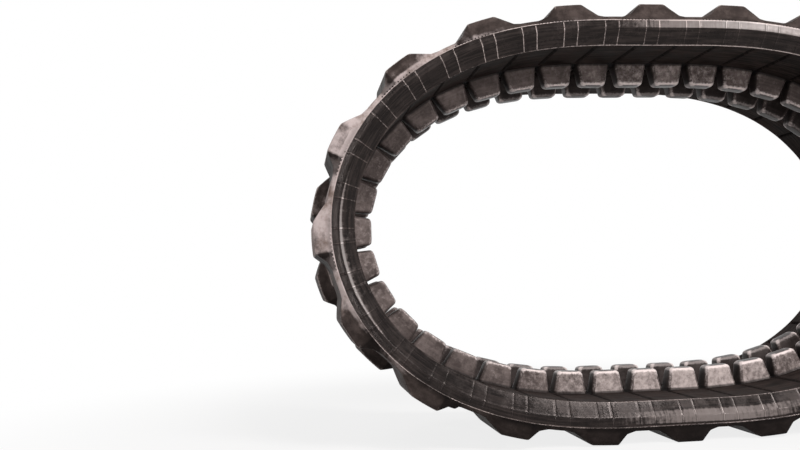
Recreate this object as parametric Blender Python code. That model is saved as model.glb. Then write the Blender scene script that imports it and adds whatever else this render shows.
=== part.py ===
"""Endless rubber crawler track standing on its tread, built as rubber segments, steel cores and cord windings.

The loop runs in the XZ plane and its width along Y. Links count from the middle of the bottom run,
to the right and round. In a link's own frame X runs along the loop, Y across it and Z inward,
with the origin on the cord line, which is the line about which the belt bends.
"""

import math

import bmesh
import bpy
from mathutils import Matrix, Vector

# Loop
PITCH = 0.0525
QUARTER_LINKS = 10
RUN_HALF_LINKS = 3
SEGMENT_LINKS = 2
BEND_GROWTH = 0.75

# Belt, with heights from the cord line
TRACK_WIDTH = 0.300
ROLLER_PATH = 0.014
BELT_FLOOR = 0.020
SIDE_FACE_TOP = -0.004
SIDE_FACE_BOTTOM = -0.015
INNER_CHAMFER = 0.012
OUTER_CHAMFER = 0.003

# Tread lugs, with heights from the belt's outer face
TREAD_HEIGHT = 0.016
LUG_PLATEAU = 0.0315
LUG_GENTLE_RUN = 0.021
LUG_STEEP_RUN = 0.011
LUG_GENTLE_TOE = 0.008
LUG_STEEP_TOE = 0.0105
LUG_GENTLE_TOE_HEIGHT = 0.0015
LUG_STEEP_TOE_HEIGHT = 0.0035
LUG_INNER_Y = 0.024
LUG_SIDE_INSET = 0.001
LUG_INNER_DRAFT = 0.35
LUG_OUTER_DRAFT = 0.08
LUG_ROOT = 0.004
LUG_SUNK_TOE = 0.001

# Guide lugs
GUIDE_ROW_Y = 0.032
GUIDE_SPACING = 0.0073
GUIDE_TIP_LENGTH = 0.0335
GUIDE_BASE_WIDTH = 0.028
GUIDE_TIP_WIDTH = 0.021
GUIDE_HEIGHT = 0.0285
GUIDE_ROOT = 0.002
GUIDE_BEVEL = 0.0028

# Drive holes and inner grooves, which lie on the gaps between links
HOLE_LENGTH = 0.026
HOLE_WIDTH = 0.036
HOLE_CORNER = 0.005
GROOVE_HALF_WIDTH = 0.003
GROOVE_DEPTH = 0.0035
GROOVE_INNER_Y = 0.049
GROOVE_EDGE_MARGIN = 0.004

# Steel cores
WING_REACH = 0.100
WING_TIP_LENGTH = 0.016
WING_BOTTOM = 0.003
WING_TOP = 0.010
WING_TIP_THINNING = 0.001
BRIDGE_HALF_WIDTH = 0.014
HORN_BASE_LENGTH = 0.028
HORN_TIP_LENGTH = 0.018
HORN_BASE_WIDTH = 0.014
HORN_TIP_WIDTH = 0.010
HORN_TIP_COVER = 0.006
HORN_ROOT = 0.002

# Cord windings
CORD_BAND_INNER_Y = 0.052
CORD_BAND_WIDTH = 0.052
CORD_BAND_THICKNESS = 0.003

# Clearances
SEAT_GAP = 0.0003
FLEX_GAP = 0.0003
INNER_FLEX_ANGLE = math.radians(3.0)
OUTER_FLEX_ANGLE = math.radians(4.0)
CUT_MARGIN = 0.004
GROOVE_MARGIN = 0.0004
FLAT_ANGLE = math.radians(0.05)

LINKS = 4 * QUARTER_LINKS
CORD_LINE_HEIGHT = BELT_FLOOR + TREAD_HEIGHT
GUIDE_TIP = ROLLER_PATH + GUIDE_HEIGHT
GUIDE_BASE_LENGTH = PITCH - GUIDE_SPACING
BRIDGE_LENGTH = PITCH - HOLE_LENGTH

RUBBER_COLOUR = (0.052, 0.046, 0.043, 1.0)
STEEL_COLOUR = (0.30, 0.29, 0.28, 1.0)
CORD_COLOUR = (0.52, 0.47, 0.38, 1.0)


def clear_scene():
    """Remove every object of the open file."""
    for item in list(bpy.data.objects):
        bpy.data.objects.remove(item, do_unlink=True)


def make_material(name, colour, roughness, metallic):
    """Principled material of one colour."""
    material = bpy.data.materials.new(name)
    material.use_nodes = True
    shader = material.node_tree.nodes["Principled BSDF"]
    shader.inputs["Base Color"].default_value = colour
    shader.inputs["Roughness"].default_value = roughness
    shader.inputs["Metallic"].default_value = metallic
    material.diffuse_color = colour
    return material


# Loop shape

def gap_bends():
    """Bend of the loop at each gap between links: none at the middle of a run, most at the turns."""
    weights = [step ** BEND_GROWTH for step in range(QUARTER_LINKS)]
    quarter = [math.pi / 2 * weight / sum(weights) for weight in weights]
    half = quarter + quarter[::-1]
    return half + half


def link_frames(bends):
    """World frame of each link, reached by half a pitch, a bend and half a pitch from the one before."""
    frames = []
    frame = Matrix.Translation((0, 0, CORD_LINE_HEIGHT))
    half_pitch = Matrix.Translation((PITCH / 2, 0, 0))
    for bend in bends:
        frames.append(frame)
        frame = frame @ half_pitch @ Matrix.Rotation(-bend, 4, "Y") @ half_pitch
    return frames


def flex_line(frames, gap):
    """Point where the flex line after link number gap crosses the loop's middle plane."""
    return frames[gap % LINKS] @ Vector((PITCH / 2, 0, 0))


# Solids

def loft(sections):
    """Closed solid through sections that have the same number of points."""
    shape = bmesh.new()
    rings = [[shape.verts.new(point) for point in section] for section in sections]
    count = len(rings[0])
    for near, far in zip(rings, rings[1:]):
        for step in range(count):
            after = (step + 1) % count
            shape.faces.new((near[step], near[after], far[after], far[step]))
    shape.faces.new(rings[0])
    shape.faces.new(rings[-1])
    bmesh.ops.recalc_face_normals(shape, faces=shape.faces)
    return shape


def box_section(x, y_low, y_high, z_low, z_high):
    """Rectangle across X, as four points."""
    return [Vector((x, y_low, z_low)), Vector((x, y_high, z_low)),
            Vector((x, y_high, z_high)), Vector((x, y_low, z_high))]


def tapered_block(centre, base_size, tip_size, base_z, tip_z, bevel=0.0):
    """Block that narrows from its base to its tip, with every edge above the base bevelled."""
    shape = bmesh.new()
    bmesh.ops.create_cube(shape, size=1.0)
    for vert in shape.verts:
        length, width = tip_size if vert.co.z > 0 else base_size
        height = tip_z if vert.co.z > 0 else base_z
        vert.co = Vector((centre[0] + vert.co.x * length, centre[1] + vert.co.y * width, height))
    if bevel > 0:
        upper = [edge for edge in shape.edges if max(vert.co.z for vert in edge.verts) > base_z + bevel]
        bmesh.ops.bevel(shape, geom=upper, offset=bevel, offset_type="OFFSET", segments=1,
                        profile=0.5, affect="EDGES")
    return shape


def join_shapes(shapes):
    """One mesh that holds separate solids."""
    whole = bmesh.new()
    for shape in shapes:
        piece = bpy.data.meshes.new("piece")
        shape.to_mesh(piece)
        shape.free()
        whole.from_mesh(piece)
        bpy.data.meshes.remove(piece)
    mesh = bpy.data.meshes.new("joined")
    whole.to_mesh(mesh)
    whole.free()
    return mesh


def combine(body, shapes, operation):
    """Replace the body object's mesh with its union or difference with the shapes."""
    tool = bpy.data.objects.new("tool", join_shapes(shapes))
    tool.hide_render = True
    tool.display_type = "WIRE"
    bpy.context.scene.collection.objects.link(tool)
    modifier = body.modifiers.new("Boolean", "BOOLEAN")
    modifier.operation = operation
    modifier.solver = "EXACT"
    modifier.object = tool
    depsgraph = bpy.context.evaluated_depsgraph_get()
    result = bpy.data.meshes.new_from_object(body.evaluated_get(depsgraph))
    body.modifiers.remove(modifier)
    spent = body.data
    body.data = result
    bpy.data.meshes.remove(spent)
    spent = tool.data
    bpy.data.objects.remove(tool, do_unlink=True)
    bpy.data.meshes.remove(spent)


# Steel core

def core_shapes(grow):
    """Cross bar and two horns of a steel core, grown by the same amount on every side."""
    bridge = (BRIDGE_LENGTH / 2 + grow, WING_BOTTOM - grow, WING_TOP + grow)
    tip = (WING_TIP_LENGTH / 2 + grow, WING_BOTTOM + WING_TIP_THINNING - grow, WING_TOP - WING_TIP_THINNING + grow)
    stations = [(-WING_REACH - grow, tip), (-BRIDGE_HALF_WIDTH, bridge),
                (BRIDGE_HALF_WIDTH, bridge), (WING_REACH + grow, tip)]
    sections = []
    for y, (half_length, low, high) in stations:
        sections.append([Vector((-half_length, y, low)), Vector((half_length, y, low)),
                         Vector((half_length, y, high)), Vector((-half_length, y, high))])
    horns = []
    for side in (-1, 1):
        horns.append(tapered_block((0, side * GUIDE_ROW_Y),
                                   (HORN_BASE_LENGTH + 2 * grow, HORN_BASE_WIDTH + 2 * grow),
                                   (HORN_TIP_LENGTH + 2 * grow, HORN_TIP_WIDTH + 2 * grow),
                                   WING_TOP - HORN_ROOT, GUIDE_TIP - HORN_TIP_COVER + grow))
    return loft(sections), horns


def core_mesh(grow):
    """One closed mesh of a steel core."""
    bar, horns = core_shapes(grow)
    body = bpy.data.objects.new("core", join_shapes([bar]))
    bpy.context.scene.collection.objects.link(body)
    combine(body, horns, "UNION")
    mesh = body.data
    bpy.data.objects.remove(body, do_unlink=True)
    return mesh


# Rubber

def flex_stations(count):
    """Places of the flex lines along a flat strip whose first link is centred at zero."""
    return [(step - 0.5) * PITCH for step in range(count + 1)]


def belt_section(x):
    """Outline of the belt across the loop, with its edge facets."""
    half = TRACK_WIDTH / 2
    points = [(half, SIDE_FACE_BOTTOM), (half, SIDE_FACE_TOP), (half - INNER_CHAMFER, ROLLER_PATH)]
    mirrored = [(-y, z) for y, z in reversed(points)]
    floor = [(-(half - OUTER_CHAMFER), -BELT_FLOOR), (half - OUTER_CHAMFER, -BELT_FLOOR)]
    return [Vector((x, y, z)) for y, z in points + mirrored + floor]


def lug_profile():
    """Tread lug along its link, as places and heights above the belt's outer face.

    The plateau ends at the link's flex line, the gentle flank falls to the link before
    and the steep flank to the link after.
    """
    end = PITCH / 2
    start = end - LUG_PLATEAU
    foot = start - LUG_GENTLE_RUN
    steep_foot = end + LUG_STEEP_RUN
    return [(foot - LUG_GENTLE_TOE, -LUG_SUNK_TOE), (foot, LUG_GENTLE_TOE_HEIGHT), (start, TREAD_HEIGHT),
            (end, TREAD_HEIGHT), (steep_foot, LUG_STEEP_TOE_HEIGHT),
            (steep_foot + LUG_STEEP_TOE, -LUG_SUNK_TOE)]


def cut_profile(profile, places):
    """The profile with a point added at each place inside it, so that no facet crosses a flex line."""
    result = [profile[0]]
    for (x_low, low), (x_high, high) in zip(profile, profile[1:]):
        for place in sorted(places):
            if x_low + SEAT_GAP < place < x_high - SEAT_GAP:
                result.append((place, low + (high - low) * (place - x_low) / (x_high - x_low)))
        result.append((x_high, high))
    return result


def tread_lug(link, side, flex_places):
    """Tread lug of one link on the near side, -1, or the far side, 1."""
    profile = [(link * PITCH + x, height) for x, height in lug_profile()]
    inner = LUG_INNER_Y
    outer = TRACK_WIDTH / 2 - LUG_SIDE_INSET
    sections = []
    for x, height in cut_profile(profile, flex_places):
        rise = max(height, 0)
        low = -(BELT_FLOOR + height)
        high = -(BELT_FLOOR - LUG_ROOT)
        sections.append([Vector((x, side * inner, high)), Vector((x, side * outer, high)),
                         Vector((x, side * (outer - rise * LUG_OUTER_DRAFT), low)),
                         Vector((x, side * (inner + rise * LUG_INNER_DRAFT), low))])
    return loft(sections)


def guide_lugs(link):
    """The two guide lugs of one link."""
    return [tapered_block((link * PITCH, side * GUIDE_ROW_Y),
                          (GUIDE_BASE_LENGTH, GUIDE_BASE_WIDTH), (GUIDE_TIP_LENGTH, GUIDE_TIP_WIDTH),
                          ROLLER_PATH - GUIDE_ROOT, GUIDE_TIP, GUIDE_BEVEL)
            for side in (-1, 1)]


def drive_hole(place):
    """Cutter for the hole that a sprocket tooth enters, with cut corners."""
    half_length = HOLE_LENGTH / 2
    half_width = HOLE_WIDTH / 2
    low = -(BELT_FLOOR + TREAD_HEIGHT)
    high = ROLLER_PATH + CUT_MARGIN
    stations = [(-half_length, half_width - HOLE_CORNER), (HOLE_CORNER - half_length, half_width), (0, half_width),
                (half_length - HOLE_CORNER, half_width), (half_length, half_width - HOLE_CORNER)]
    return loft([box_section(place + x, -width, width, low, high) for x, width in stations])


def inner_grooves(place):
    """Cutters for the two shallow grooves across the roller paths at a flex line."""
    high = ROLLER_PATH + CUT_MARGIN
    spread = GROOVE_HALF_WIDTH * (GROOVE_DEPTH + GROOVE_MARGIN) / GROOVE_DEPTH
    outer = TRACK_WIDTH / 2 - INNER_CHAMFER - GROOVE_EDGE_MARGIN
    shapes = []
    for side in (-1, 1):
        y_low, y_high = sorted((side * GROOVE_INNER_Y, side * outer))
        shapes.append(loft([box_section(place - spread, y_low, y_high, ROLLER_PATH + GROOVE_MARGIN, high),
                            box_section(place, y_low, y_high, ROLLER_PATH - GROOVE_DEPTH, high),
                            box_section(place + spread, y_low, y_high, ROLLER_PATH + GROOVE_MARGIN, high)]))
    return shapes


def cord_channels(places):
    """Cutters for the two flat channels that the cord windings run through."""
    half_height = CORD_BAND_THICKNESS / 2 + SEAT_GAP
    near = CORD_BAND_INNER_Y - SEAT_GAP
    far = CORD_BAND_INNER_Y + CORD_BAND_WIDTH + SEAT_GAP
    stations = [places[0] - PITCH / 2] + places + [places[-1] + PITCH / 2]
    shapes = []
    for side in (-1, 1):
        y_low, y_high = sorted((side * near, side * far))
        shapes.append(loft([box_section(x, y_low, y_high, -half_height, half_height) for x in stations]))
    return shapes


def end_cutter(place, direction):
    """Cutter that leaves the strip's end as a blunt edge on the cord line, free to flex both ways."""
    reach = GUIDE_TIP + CUT_MARGIN
    edge = place - direction * FLEX_GAP / 2
    beyond = place + direction * 2 * PITCH
    outline = [(edge, 0.0), (edge - direction * reach * math.tan(INNER_FLEX_ANGLE), reach),
               (beyond, reach), (beyond, -reach),
               (edge - direction * reach * math.tan(OUTER_FLEX_ANGLE), -reach)]
    half = TRACK_WIDTH / 2 + CUT_MARGIN
    return loft([[Vector((x, y, z)) for x, z in outline] for y in (-half, half)])


def rubber_strip(count, parity):
    """Flat strip of links: near-side tread lugs on even links, far-side ones on odd links."""
    places = flex_stations(count)
    outside = [places[0] - PITCH / 2] + places + [places[-1] + PITCH / 2]
    body = bpy.data.objects.new("strip", join_shapes([loft([belt_section(x) for x in outside])]))
    bpy.context.scene.collection.objects.link(body)
    raised = []
    for link in range(-1, count + 1):
        side = -1 if (link + parity) % 2 == 0 else 1
        raised.append(tread_lug(link, side, places))
    for link in range(count):
        raised.extend(guide_lugs(link))
    combine(body, raised, "UNION")
    combine(body, [end_cutter(places[0], -1), end_cutter(places[-1], 1)], "DIFFERENCE")
    combine(body, [drive_hole(place) for place in places], "DIFFERENCE")
    hollows = cord_channels(places)
    for place in places:
        hollows.extend(inner_grooves(place))
    combine(body, hollows, "DIFFERENCE")
    for link in range(count):
        bar, horns = core_shapes(SEAT_GAP)
        pocket = bpy.data.objects.new("pocket", join_shapes([bar]))
        bpy.context.scene.collection.objects.link(pocket)
        combine(pocket, horns, "UNION")
        shape = bmesh.new()
        shape.from_mesh(pocket.data)
        bmesh.ops.translate(shape, verts=shape.verts, vec=(link * PITCH, 0, 0))
        bpy.data.objects.remove(pocket, do_unlink=True)
        combine(body, [shape], "DIFFERENCE")
    mesh = body.data
    bpy.data.objects.remove(body, do_unlink=True)
    merge_flat_faces(mesh, places)
    return mesh


def merge_flat_faces(mesh, places):
    """Join faces that lie in one plane, but for those that meet on a flex line."""
    shape = bmesh.new()
    shape.from_mesh(mesh)
    free = [edge for edge in shape.edges
            if not any(all(abs(vert.co.x - place) < SEAT_GAP / 10 for vert in edge.verts) for place in places)]
    held = {vert for edge in shape.edges if edge not in set(free) for vert in edge.verts}
    verts = [vert for vert in shape.verts if vert not in held]
    bmesh.ops.dissolve_limit(shape, angle_limit=FLAT_ANGLE, use_dissolve_boundaries=False,
                             verts=verts, edges=free, delimit=set())
    bmesh.ops.triangulate(shape, faces=shape.faces)
    shape.to_mesh(mesh)
    shape.free()


def bend_strip(mesh, first, count, bends, frames, seat):
    """Lay a flat strip along the loop, its ends and inner gaps on the planes that halve each bend."""
    end_zone = FLEX_GAP / 2 + CORD_LINE_HEIGHT * math.tan(OUTER_FLEX_ANGLE) + SEAT_GAP
    from_world = seat.inverted()
    for vert in mesh.vertices:
        step = min(max(round(vert.co.x / PITCH), 0), count - 1)
        link = (first + step) % LINKS
        along = vert.co.x - step * PITCH
        bend = bends[link] if along > 0 else bends[link - 1]
        if PITCH / 2 - abs(along) < end_zone:
            along -= math.copysign(vert.co.z * math.tan(bend / 2), along)
        vert.co = from_world @ frames[link] @ Vector((along, vert.co.y, vert.co.z))


# Cord winding

def winding_mesh(side, bends, frames):
    """Flat ring of cord band: an outline that bends at each flex line, with a like hole, extruded across."""
    outline = bpy.data.curves.new("winding", "CURVE")
    outline.dimensions = "2D"
    outline.fill_mode = "BOTH"
    outline.extrude = CORD_BAND_WIDTH / 2
    for height in (-CORD_BAND_THICKNESS / 2, CORD_BAND_THICKNESS / 2):
        spline = outline.splines.new("POLY")
        spline.points.add(LINKS - 1)
        spline.use_cyclic_u = True
        for gap, point in enumerate(spline.points):
            corner = frames[gap] @ Vector((PITCH / 2 - height * math.tan(bends[gap] / 2), 0, height))
            point.co = (corner.x, corner.z, 0, 1)
    ring = bpy.data.objects.new("winding", outline)
    bpy.context.scene.collection.objects.link(ring)
    depsgraph = bpy.context.evaluated_depsgraph_get()
    mesh = bpy.data.meshes.new_from_object(ring.evaluated_get(depsgraph))
    bpy.data.objects.remove(ring, do_unlink=True)
    shape = bmesh.new()
    shape.from_mesh(mesh)
    bmesh.ops.remove_doubles(shape, verts=shape.verts, dist=0.00001)
    across = side * (CORD_BAND_INNER_Y + CORD_BAND_WIDTH / 2)
    shape.transform(Matrix.Translation((0, across, 0)) @ Matrix.Rotation(math.pi / 2, 4, "X"))
    bmesh.ops.recalc_face_normals(shape, faces=shape.faces)
    shape.to_mesh(mesh)
    shape.free()
    return mesh


# Bodies

def quarter_segments():
    """Steps from the run's end to the turn, as pairs of first link and count within a quarter."""
    first = RUN_HALF_LINKS + 1
    segments = []
    while first < QUARTER_LINKS:
        count = min(SEGMENT_LINKS, QUARTER_LINKS - first)
        segments.append((first, count))
        first += count
    return segments


def body_plan():
    """Bodies from the root outward on each side: name, first link, links, gap of its joint, parent."""
    run = 2 * RUN_HALF_LINKS + 1
    half = 2 * QUARTER_LINKS
    segments = list(enumerate(quarter_segments(), 1))
    plan = [("bottom_run", -RUN_HALF_LINKS, run, None, None)]
    parent = "bottom_run"
    for number, (first, count) in segments:
        plan.append((f"lower_right_{number}", first, count, first - 1, parent))
        parent = f"lower_right_{number}"
    plan.append(("right_turn", QUARTER_LINKS, 1, QUARTER_LINKS - 1, parent))
    parent = "right_turn"
    for number, (first, count) in reversed(segments):
        mirrored = half - first - count + 1
        plan.append((f"upper_right_{number}", mirrored, count, mirrored - 1, parent))
        parent = f"upper_right_{number}"
    parent = "bottom_run"
    for number, (first, count) in segments:
        mirrored = LINKS - first - count + 1
        plan.append((f"lower_left_{number}", mirrored, count, mirrored + count - 1, parent))
        parent = f"lower_left_{number}"
    plan.append(("left_turn", half + QUARTER_LINKS, 1, half + QUARTER_LINKS, parent))
    parent = "left_turn"
    for number, (first, count) in reversed(segments):
        plan.append((f"upper_left_{number}", half + first, count, half + first + count - 1, parent))
        parent = f"upper_left_{number}"
    plan.append(("top_run", half - RUN_HALF_LINKS, run, half + RUN_HALF_LINKS, parent))
    return plan


def add_object(name, mesh, material, collection, holder, seat):
    """Link an object under its body's empty, seated by its frame in the world."""
    mesh.materials.clear()
    mesh.materials.append(material)
    item = bpy.data.objects.new(name, mesh)
    collection.objects.link(item)
    item.parent = holder
    local = holder.matrix_world.inverted() @ seat
    item.location = local.to_translation()
    item.rotation_euler = local.to_euler()
    return item


def build_track():
    """Make every body of the loop: its empty on the joint's axis, its rubber and its cores."""
    clear_scene()
    collection = bpy.data.collections.new("rubber_track")
    bpy.context.scene.collection.children.link(collection)
    rubber = make_material("track_rubber", RUBBER_COLOUR, 0.55, 0.0)
    steel = make_material("forged_steel", STEEL_COLOUR, 0.5, 1.0)
    cord = make_material("brass_coated_cord", CORD_COLOUR, 0.4, 1.0)
    bends = gap_bends()
    frames = link_frames(bends)
    strips = {}
    core = core_mesh(0.0)
    core.name = "steel_core"
    holders = {}
    for name, first, count, gap, parent in body_plan():
        holder = bpy.data.objects.new(f"flex_{name}", None)
        collection.objects.link(holder)
        pivot = flex_line(frames, gap) if gap is not None else Vector((0, 0, CORD_LINE_HEIGHT))
        if parent:
            holder.parent = holders[parent]
            holder.location = pivot - holders[parent].matrix_world.translation
        else:
            holder.location = pivot
        bpy.context.view_layer.update()
        holders[name] = holder
        key = (count, first % 2)
        if key not in strips:
            strips[key] = rubber_strip(*key)
        mesh = strips[key].copy()
        mesh.name = f"rubber_{name}"
        nearest = first % LINKS if gap is None or gap == first - 1 else (first + count - 1) % LINKS
        seat = Matrix.Translation(pivot) @ frames[nearest].to_3x3().to_4x4()
        bend_strip(mesh, first, count, bends, frames, seat)
        add_object(f"rubber_{name}", mesh, rubber, collection, holder, seat)
        for link in range(first, first + count):
            number = link % LINKS
            add_object(f"steel_core_{number:02d}", core, steel, collection, holder, frames[number])
    for label, side in (("near", -1), ("far", 1)):
        add_object(f"cord_winding_{label}", winding_mesh(side, bends, frames), cord, collection,
                   holders["bottom_run"], Matrix.Identity(4))
    for mesh in strips.values():
        bpy.data.meshes.remove(mesh)
    bpy.context.view_layer.update()


build_track()
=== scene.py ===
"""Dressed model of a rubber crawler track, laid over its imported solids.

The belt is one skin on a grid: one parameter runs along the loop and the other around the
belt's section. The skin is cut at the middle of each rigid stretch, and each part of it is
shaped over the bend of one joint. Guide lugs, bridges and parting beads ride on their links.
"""

import logging
from dataclasses import dataclass, field
from enum import Enum

import bpy
import numpy as np
from mathutils import Matrix


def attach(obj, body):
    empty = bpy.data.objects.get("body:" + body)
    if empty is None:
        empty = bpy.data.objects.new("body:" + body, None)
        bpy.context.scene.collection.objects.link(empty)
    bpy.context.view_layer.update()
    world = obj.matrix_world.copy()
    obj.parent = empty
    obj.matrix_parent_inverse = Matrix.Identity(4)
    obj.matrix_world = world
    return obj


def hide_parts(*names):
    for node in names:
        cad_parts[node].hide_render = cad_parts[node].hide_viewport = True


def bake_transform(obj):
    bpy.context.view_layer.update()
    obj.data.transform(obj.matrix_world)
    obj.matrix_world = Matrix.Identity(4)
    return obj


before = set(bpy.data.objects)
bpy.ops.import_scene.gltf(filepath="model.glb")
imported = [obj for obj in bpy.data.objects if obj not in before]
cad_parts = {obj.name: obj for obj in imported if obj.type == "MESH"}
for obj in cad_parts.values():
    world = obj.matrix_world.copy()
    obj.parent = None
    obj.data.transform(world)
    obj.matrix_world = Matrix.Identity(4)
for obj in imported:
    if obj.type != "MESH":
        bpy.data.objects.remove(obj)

MM = 0.001
LINKS = 40
LOG = logging.getLogger("rubber_track")
Array = np.ndarray
Socket = bpy.types.NodeSocket
Tree = bpy.types.NodeTree
Pair = tuple[float, float]
Point = tuple[float, float, float]
Colour = tuple[float, float, float]


class Side(Enum):
    """The two halves of the belt, by the sign of the place across it."""

    NEAR = -1.0
    FAR = 1.0


class SkinZone(Enum):
    """The finishes of the belt's skin, by material slot."""

    INNER = 0
    EDGE = 1
    TREAD = 2


def smoothstep(share: Array) -> Array:
    """Ease from 0 to 1: three times the share squared less twice its cube.

    Args:
        share: Values, held between 0 and 1.

    Returns:
        The eased values.
    """
    held = np.clip(share, 0.0, 1.0)
    return held * held * (3.0 - 2.0 * held)


def round_corners(points: int) -> tuple[Array, Array, Array]:
    """Directions around a rectangle with round corners, one corner after the other.

    Args:
        points: Number of points on the arc of a corner.

    Returns:
        The angle of each point on its arc, and the signs of its corner's two coordinates.
    """
    turn = (np.linspace(0.0, np.pi / 2, points) + np.arange(4)[:, None] * np.pi / 2).ravel()
    corner = np.repeat(np.arange(4), points) * np.pi / 2 + np.pi / 4
    return turn, np.sign(np.cos(corner)), np.sign(np.sin(corner))


def add_object(name: str, data: bpy.types.ID) -> bpy.types.Object:
    """Makes an object of its data and links it into the scene."""
    item = bpy.data.objects.new(name, data)
    bpy.context.scene.collection.objects.link(item)
    return item


def axes_matrix(right: Array, upright: Array, back: Array, place: Array) -> Matrix:
    """Matrix of an object at a place, with the three directions as its own axes."""
    turn = np.eye(4)
    turn[:3] = np.column_stack([right, upright, back, place])
    return Matrix(turn.tolist())


@dataclass(frozen=True)
class LinkBand:
    """A soft band of links, a bell with its weight at the middle.

    Its links count from 0 to 40, or from -20 to 20 if its middle is near the first link.
    """

    middle: float
    width: float
    weight: float = 1.0

    def at(self, link: Array | float) -> Array:
        """Weight of the band at places counted in links."""
        first = -LINKS / 2 if self.middle < LINKS / 4 else 0.0
        away = (link - first) % LINKS + first - self.middle
        return self.weight * np.exp(-((away / self.width) ** 2))


@dataclass(frozen=True)
class Stretch:
    """A rigid stretch of the track: a body, its first link and its number of links."""

    body: str
    first: int
    count: int

    def middle(self, pitch: float) -> float:
        """Place of the stretch's middle along the loop, in metres."""
        return (self.first + (self.count - 1) / 2) * pitch

    def links(self) -> range:
        """Numbers of the stretch's links."""
        return range(self.first, self.first + self.count)


STRETCHES = (
    Stretch("bottom_run", -3, 7), Stretch("lower_right_1", 4, 2),
    Stretch("lower_right_2", 6, 2), Stretch("lower_right_3", 8, 2),
    Stretch("right_turn", 10, 1), Stretch("upper_right_3", 11, 2),
    Stretch("upper_right_2", 13, 2), Stretch("upper_right_1", 15, 2),
    Stretch("top_run", 17, 7), Stretch("upper_left_1", 24, 2),
    Stretch("upper_left_2", 26, 2), Stretch("upper_left_3", 28, 2),
    Stretch("left_turn", 30, 1), Stretch("lower_left_3", 31, 2),
    Stretch("lower_left_2", 33, 2), Stretch("lower_left_1", 35, 2),
)
OPEN_JOINT = ("upper_right_1", "top_run")


@dataclass(frozen=True)
class LoopPath:
    """The closed line about which the track bends, with one bend at each gap between links."""

    pitch: float = 52.5 * MM
    growth: float = 0.75
    bottom: float = 36.0 * MM
    flex: float = 24.0 * MM
    least_bend: float = 1e-5

    def length(self) -> float:
        """Length of the loop, of whole links."""
        return LINKS * self.pitch

    def bends(self) -> Array:
        """Turn at each gap: a power of the gap's number over a quarter, mirrored over four."""
        steps = np.arange(LINKS // 4, dtype=float) ** self.growth
        quarter = steps / steps.sum() * np.pi / 2
        return np.concatenate([quarter, quarter[::-1]] * 2)

    def headings(self) -> Array:
        """Heading of each link, the sum of the bends before it."""
        return np.concatenate([[0.0], np.cumsum(self.bends())[:-1]])

    def pivots(self) -> Array:
        """Places of the gaps in X and Z: each is one pitch along its link from the one before."""
        heading = self.headings()
        steps = self.pitch * np.column_stack([np.cos(heading), np.sin(heading)])
        return np.array([self.pitch / 2, self.bottom]) + np.cumsum(steps, axis=0) - steps[0]

    def from_pivot(
        self, gap: Array | int, heading: Array | float, forward: Array, side: Array, across: Array
    ) -> Array:
        """Points by their places forward and to the side of a gap's pivot on a heading."""
        pivot = self.pivots()[gap]
        x = pivot[..., 0] + forward * np.cos(heading) - side * np.sin(heading)
        z = pivot[..., 1] + forward * np.sin(heading) + side * np.cos(heading)
        return np.stack([x, np.broadcast_to(across, x.shape), z], axis=-1)

    def place(self, along: Array, across: Array, inward: Array) -> Array:
        """Points of the bent track for places on the straight one.

        The line follows an arc over the flexible zone at each gap, which touches the two links'
        straight lines at the zone's ends.

        Args:
            along: Place along the loop from the middle of link zero.
            across: Place across the track.
            inward: Height from the line of bending towards the loop's inside.

        Returns:
            The points, with the coordinate as last index.
        """
        number = np.round(along / self.pitch - 0.5).astype(int)
        away = along - (number + 0.5) * self.pitch
        gap = number % LINKS
        half = np.maximum(self.bends()[gap] / 2, self.least_bend)
        radius = self.flex / np.tan(half)
        share = np.clip(away / self.flex, -1.0, 1.0)
        rest = away - share * self.flex
        turn = half * share
        forward = (radius - inward) * np.sin(turn) + rest * np.cos(turn)
        side = radius / np.cos(half) - (radius - inward) * np.cos(turn) + rest * np.sin(turn)
        return self.from_pivot(gap, self.headings()[gap] + self.bends()[gap] / 2, forward, side, across)

    def place_rigid(self, link: int, along: Array, across: Array, inward: Array) -> Array:
        """Points of a rigid piece of a link: its own places turned by the link's heading.

        Args:
            link: Number of the link.
            along: Place along the link from its middle.
            across: Place across the track.
            inward: Height from the line of bending.

        Returns:
            The points, with the coordinate as last index.
        """
        number = link % LINKS
        return self.from_pivot(number, self.headings()[number], along - self.pitch / 2, inward, across)

    def blend_ends(self, gap: int) -> tuple[list[float], list[float]]:
        """Ends of the flexible zone at a gap, on the mean heading of its two links."""
        number = gap % LINKS
        heading = self.headings()[number] + self.bends()[number] / 2
        step = self.flex * np.array([np.cos(heading), 0.0, np.sin(heading)])
        pivot = np.array([self.pivots()[number, 0], 0.0, self.pivots()[number, 1]])
        return (pivot - step).tolist(), (pivot + step).tolist()


@dataclass(frozen=True)
class JointSpan:
    """The track from the middle of one stretch to the middle of the next one."""

    before: Stretch
    after: Stretch

    def is_open(self) -> bool:
        """Whether the loop is opened at the span's joint."""
        return (self.before.body, self.after.body) == OPEN_JOINT

    def gap(self) -> int:
        """Number of the gap at the joint, which is that of the link before it."""
        return self.before.links()[-1]

    def places(self, pitch: float) -> tuple[float, float, float]:
        """Places along the loop of the span's start, its joint and its end."""
        return self.before.middle(pitch), (self.gap() + 0.5) * pitch, self.after.middle(pitch)

    def blend(self, piece: bpy.types.Object, path: LoopPath) -> None:
        """Bakes the piece's placement into its mesh; the ends of the joint's flexible zone are worked out but
        not used.
        """
        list(path.blend_ends(self.gap()))
        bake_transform(piece)


NEXT_STRETCHES = (*STRETCHES[1:], Stretch("bottom_run", LINKS - 3, 7))
SPANS = tuple(JointSpan(before, after) for before, after in zip(STRETCHES, NEXT_STRETCHES))


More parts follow.
